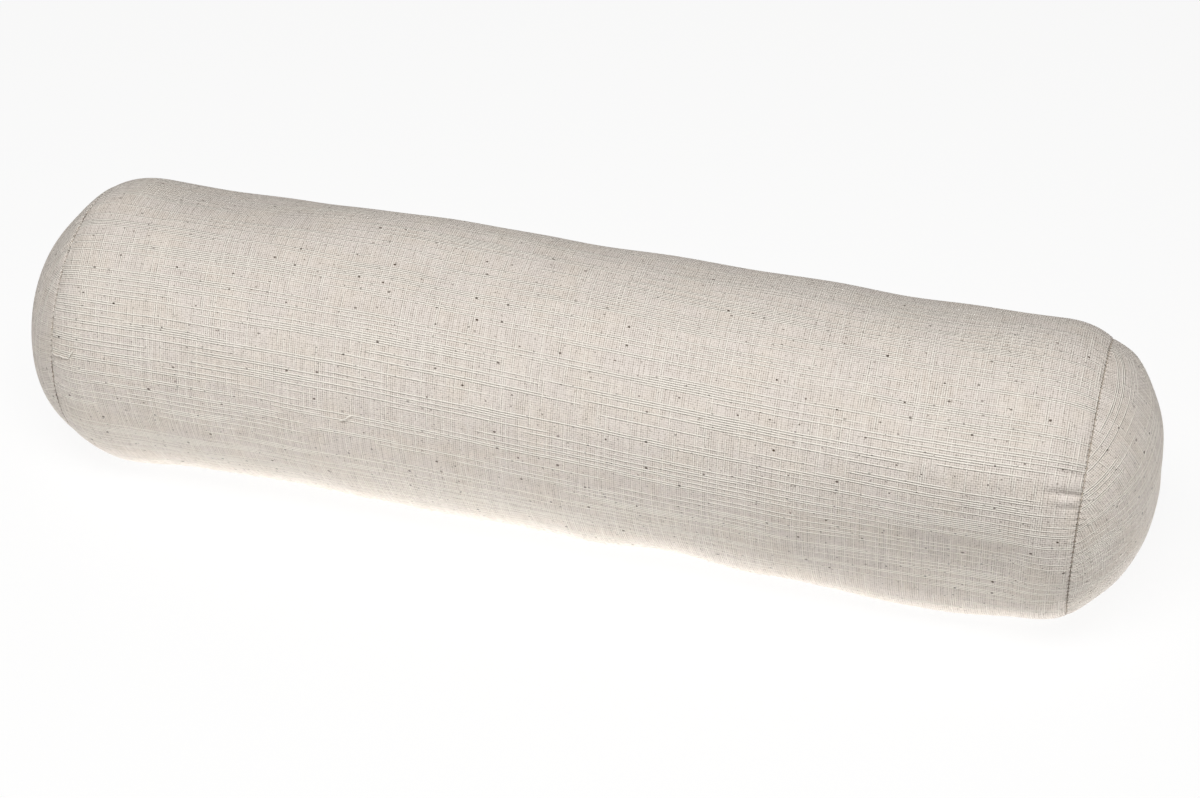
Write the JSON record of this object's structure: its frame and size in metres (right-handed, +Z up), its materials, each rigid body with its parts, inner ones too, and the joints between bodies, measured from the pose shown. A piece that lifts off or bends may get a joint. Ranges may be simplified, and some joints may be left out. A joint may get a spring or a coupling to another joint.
{
  "type": "yoga bolster",
  "caption": "Round yoga bolster with domed ends: a sewn natural canvas cover, closed by a zip at the back, over a lined, firmly filled inner bag.",
  "frame": {"origin": "on the floor under the middle of the bolster, at the bottom centre of its box", "axes": "+X along the bolster towards the end where the zip closes, -Y to the front, +Z up"},
  "size_m": [0.789, 0.199, 0.1968],
  "materials": {
    "canvas": "undyed plain-weave slub canvas, matte",
    "lining": "thin plain cotton",
    "filling": "packed cotton wadding",
    "thread": "spun sewing thread",
    "tape": "woven zip tape",
    "teeth": "moulded acetal",
    "brass": "aged brass, satin"
  },
  "bodies": {
    "bolster": {"cover_body": "canvas", "cover_end_left": "canvas", "cover_end_right": "canvas", "end_seam_thread_left": "thread", "end_seam_thread_right": "thread", "closing_thread_left": "thread", "closing_thread_right": "thread", "zip_thread_upper": "thread", "zip_thread_lower": "thread", "zip_tack_left": "thread", "zip_tack_right": "thread", "zip_tape_upper": "tape", "zip_tape_lower": "tape", "zip_teeth_upper": "teeth", "zip_teeth_lower": "teeth", "zip_top_stop_upper": "brass", "zip_top_stop_lower": "brass", "zip_bottom_stop": "brass", "liner_body": "lining", "liner_end_left": "lining", "liner_end_right": "lining", "liner_seam_thread_left": "thread", "liner_seam_thread_right": "thread", "liner_closing_thread": "thread", "filling": "filling"},
    "slider": {"zip_slider": "brass"},
    "pull": {"zip_pull": "brass"}
  },
  "joints": [
    {"name": "zip_slide", "type": "slide", "parent": "bolster", "child": "slider", "axis": [-1, 0, 0], "range_m": [0, 0.5754], "deforming": ["zip_teeth_upper", "zip_teeth_lower"]},
    {"name": "zip_pull_hinge", "type": "hinge", "parent": "slider", "child": "pull", "pos_m": [0.2882, 0.09342, 0.1332], "axis": [0, 0.3827, -0.9239], "range_deg": [0, 165]}
  ]
}
